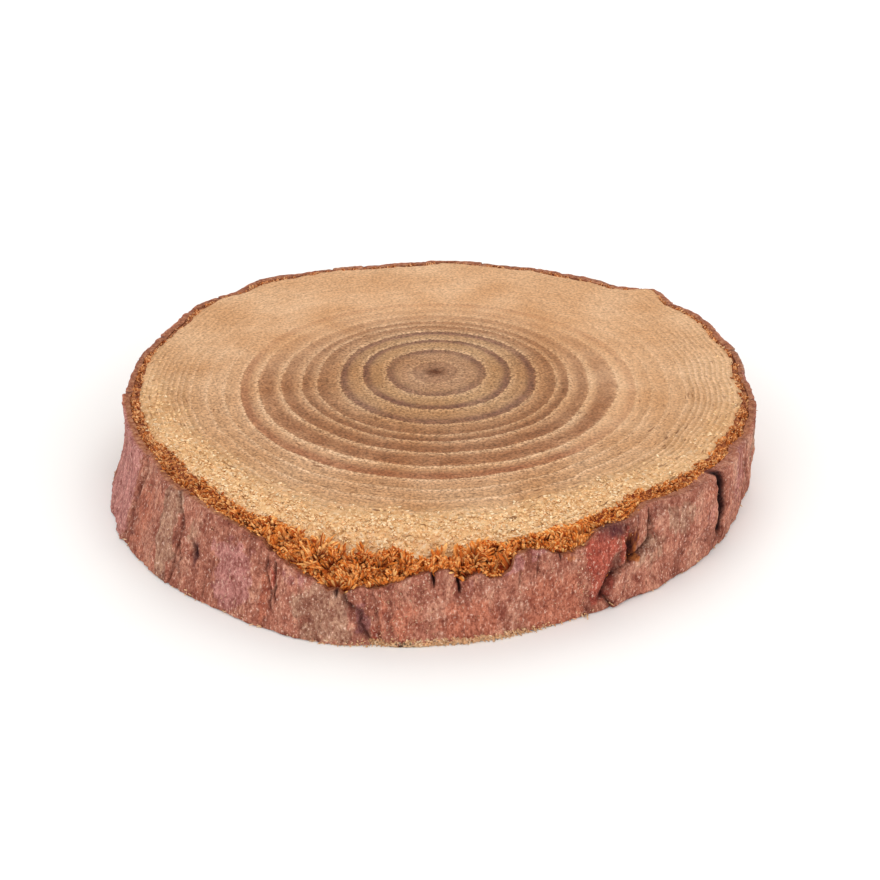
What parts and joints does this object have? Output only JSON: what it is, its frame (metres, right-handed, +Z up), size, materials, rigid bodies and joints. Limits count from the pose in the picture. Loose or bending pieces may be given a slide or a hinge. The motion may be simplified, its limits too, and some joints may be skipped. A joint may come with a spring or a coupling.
{
  "type": "wood slice",
  "caption": "Thin round slice sawn across a small branch, with reddish bark around its edge and growth rings on its flat faces.",
  "frame": {"origin": "centre of the lower sawn face's bounding box, on the plane that the slice lies on", "axes": "+Z up, through the slice's thickness; the side with the chipped bark faces -Y"},
  "size_m": [0.0358, 0.0354, 0.005],
  "materials": {
    "sawn_wood": "rough sawn end grain, matt",
    "inner_bark": "torn orange-brown fibres, matt",
    "bark": "dry flaking reddish bark, matt"
  },
  "bodies": {
    "root": {"wood_slice": "sawn_wood"}
  },
  "joints": []
}
